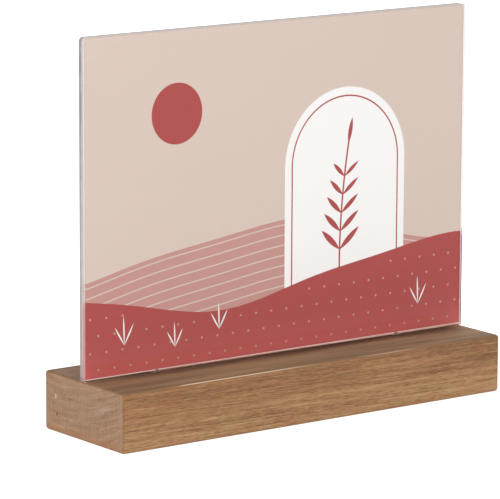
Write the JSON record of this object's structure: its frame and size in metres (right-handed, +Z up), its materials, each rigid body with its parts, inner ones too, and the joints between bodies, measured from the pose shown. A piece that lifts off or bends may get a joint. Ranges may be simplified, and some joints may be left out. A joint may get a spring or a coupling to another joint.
{
  "type": "card holder",
  "caption": "Tabletop holder for a landscape card: clear two-sheet sleeve, open at top and sides, with a tongue that stands in a blind slot in a solid oak block.",
  "frame": {"origin": "centre of the block's underside", "axes": "+X along the block's length, to the right seen from the front; +Y from front to back; +Z up"},
  "size_m": [0.2106, 0.06, 0.176],
  "materials": {
    "oak": "sanded and oiled solid oak, grain along the block, end grain on both ends",
    "clear_acrylic": "clear cast acrylic, gloss, polished cut edges",
    "clear_strip": "clear acrylic strip with a frosted top edge",
    "printed_card": "matte printed card, beige, dusty red and white"
  },
  "bodies": {
    "block": {"base_block": "oak"},
    "sleeve": {"front_panel": "clear_acrylic", "rear_panel": "clear_acrylic", "spacer_strip": "clear_strip"},
    "card": {"card_insert": "printed_card"}
  },
  "joints": [
    {"name": "sleeve_lift", "type": "slide", "parent": "block", "child": "sleeve", "axis": [0, 0, 1], "range_m": [0, 0.016]},
    {"name": "card_slide", "type": "slide", "parent": "sleeve", "child": "card", "axis": [0, 0, 1], "range_m": [0, 0.15]}
  ]
}
